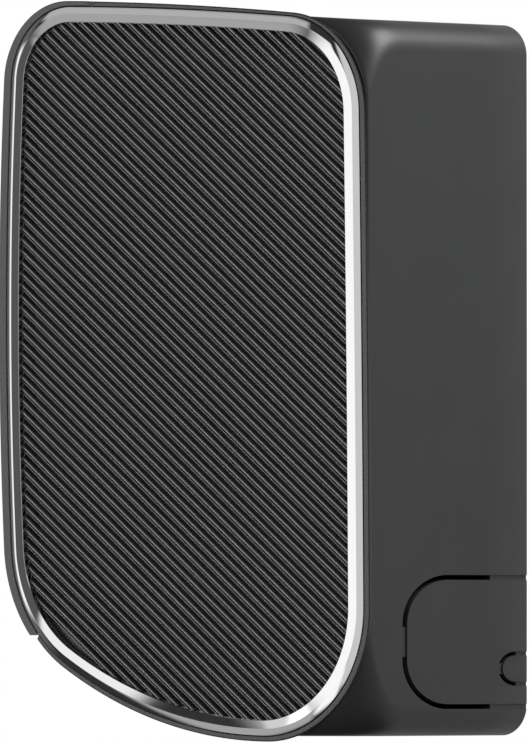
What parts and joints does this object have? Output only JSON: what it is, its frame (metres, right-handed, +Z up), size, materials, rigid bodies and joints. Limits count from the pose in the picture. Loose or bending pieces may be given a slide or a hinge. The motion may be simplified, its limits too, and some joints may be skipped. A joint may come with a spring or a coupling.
{
  "type": "doorbell chime",
  "caption": "Wall-mounted doorbell chime with a diagonally ribbed speaker grille in a bright ring, a deep housing with cable knock-outs and a light bar on its left edge.",
  "frame": {"origin": "on the wall plane, at the middle of the base plate's back face", "axes": "+Y into the wall, so the grille faces -Y; +Z up; +X to the viewer's right"},
  "size_m": [0.1239, 0.0653, 0.19],
  "materials": {
    "housing_plastic": "satin moulded",
    "trim_chrome": "bright plated",
    "grille_plastic": "satin ribbed",
    "acoustic_cloth": "fine weave",
    "light_bar": "satin tinted",
    "button_plastic": "satin",
    "inner_plastic": "matt moulded",
    "black_plastic": "matt",
    "steel": "zinc plated",
    "ferrite": "matt sintered",
    "foam": "foam",
    "rubber": "matt",
    "spider_cloth": "resin treated weave",
    "cone_paper": "matt pressed paper",
    "copper": "enamelled",
    "brass": "bright",
    "circuit_board": "solder mask",
    "capacitor_sleeve": "satin sleeve",
    "connector_plastic": "satin",
    "terminal_plastic": "satin",
    "cell_wrap": "gloss sleeve",
    "lamp_resin": "clear resin",
    "lead_red": "satin",
    "lead_black": "satin",
    "ribbon_grey": "satin"
  },
  "bodies": {
    "base": {"base_plate": "inner_plastic", "speaker_enclosure": "inner_plastic", "speaker_basket": "steel", "speaker_magnet": "ferrite", "speaker_yoke": "steel", "speaker_gasket": "foam", "speaker_surround": "rubber", "speaker_spider": "spider_cloth", "speaker_terminals": "brass", "speaker_screws": "steel", "enclosure_screws": "steel", "main_pcb": "circuit_board", "board_screws": "steel", "radio_module": "steel", "antenna_coil": "brass", "processor_chip": "black_plastic", "amplifier_chip": "black_plastic", "crystal_can": "steel", "capacitors": "capacitor_sleeve", "rectifier": "black_plastic", "lead_connectors": "connector_plastic", "terminal_block": "terminal_plastic", "terminal_clamps": "brass", "battery_tray": "inner_plastic", "tray_screws": "steel", "battery_cell_1": "cell_wrap", "battery_cell_2": "cell_wrap", "battery_cell_3": "cell_wrap", "battery_cell_4": "cell_wrap", "battery_springs": "steel", "battery_contacts": "steel", "side_board": "circuit_board", "side_board_screws": "steel", "light_bar_leds": "lamp_resin", "tact_switches": "steel", "speaker_leads": "lead_red", "battery_leads": "lead_black", "side_board_ribbon": "ribbon_grey"},
    "cover": {"cover_shell": "housing_plastic", "front_bezel": "housing_plastic", "chrome_trim_ring": "trim_chrome", "speaker_grille": "grille_plastic", "acoustic_cloth": "acoustic_cloth", "light_bar_lens": "light_bar"},
    "volume_up_button": {"volume_up_cap": "button_plastic"},
    "volume_down_button": {"volume_down_cap": "button_plastic"},
    "tune_button": {"tune_cap": "button_plastic"},
    "volume_up_switch": {"volume_up_plunger": "black_plastic"},
    "volume_down_switch": {"volume_down_plunger": "black_plastic"},
    "tune_switch": {"tune_plunger": "black_plastic"},
    "cone": {"speaker_cone": "cone_paper", "speaker_dust_cap": "cone_paper", "voice_coil": "copper"},
    "terminal_screw_a": {"terminal_screw_1": "steel"},
    "terminal_screw_b": {"terminal_screw_2": "steel"},
    "terminal_screw_c": {"terminal_screw_3": "steel"},
    "terminal_screw_d": {"terminal_screw_4": "steel"}
  },
  "joints": [
    {"name": "cover_pull", "type": "slide", "parent": "base", "child": "cover", "axis": [0, -1, 0], "range_m": [0, 0.07]},
    {"name": "volume_up_press", "type": "slide", "parent": "cover", "child": "volume_up_button", "axis": [1, 0, 0], "range_m": [0, 0.0005], "stiffness_N_per_m": 300},
    {"name": "volume_down_press", "type": "slide", "parent": "cover", "child": "volume_down_button", "axis": [1, 0, 0], "range_m": [0, 0.0005], "stiffness_N_per_m": 300},
    {"name": "tune_press", "type": "slide", "parent": "cover", "child": "tune_button", "axis": [1, 0, 0], "range_m": [0, 0.0005], "stiffness_N_per_m": 300},
    {"name": "volume_up_plunge", "type": "slide", "parent": "base", "child": "volume_up_switch", "axis": [1, 0, 0], "range_m": [0, 0.0005], "stiffness_N_per_m": 100},
    {"name": "volume_down_plunge", "type": "slide", "parent": "base", "child": "volume_down_switch", "axis": [1, 0, 0], "range_m": [0, 0.0005], "stiffness_N_per_m": 100},
    {"name": "tune_plunge", "type": "slide", "parent": "base", "child": "tune_switch", "axis": [1, 0, 0], "range_m": [0, 0.0005], "stiffness_N_per_m": 100},
    {"name": "cone_travel", "type": "slide", "parent": "base", "child": "cone", "axis": [0, -1, 0], "range_m": [-0.0008, 0.0008], "stiffness_N_per_m": 1500},
    {"name": "terminal_turn_a", "type": "hinge", "parent": "base", "child": "terminal_screw_a", "pos_m": [0.0095, -0.016, -0.064], "axis": [0, -1, 0], "continuous": true},
    {"name": "terminal_turn_b", "type": "hinge", "parent": "base", "child": "terminal_screw_b", "pos_m": [0.0165, -0.016, -0.064], "axis": [0, -1, 0], "continuous": true},
    {"name": "terminal_turn_c", "type": "hinge", "parent": "base", "child": "terminal_screw_c", "pos_m": [0.0235, -0.016, -0.064], "axis": [0, -1, 0], "continuous": true},
    {"name": "terminal_turn_d", "type": "hinge", "parent": "base", "child": "terminal_screw_d", "pos_m": [0.0305, -0.016, -0.064], "axis": [0, -1, 0], "continuous": true}
  ],
  "couplings": [
    {"joint": "volume_up_plunge", "follows": "volume_up_press", "ratio": 1},
    {"joint": "volume_down_plunge", "follows": "volume_down_press", "ratio": 1},
    {"joint": "tune_plunge", "follows": "tune_press", "ratio": 1}
  ]
}
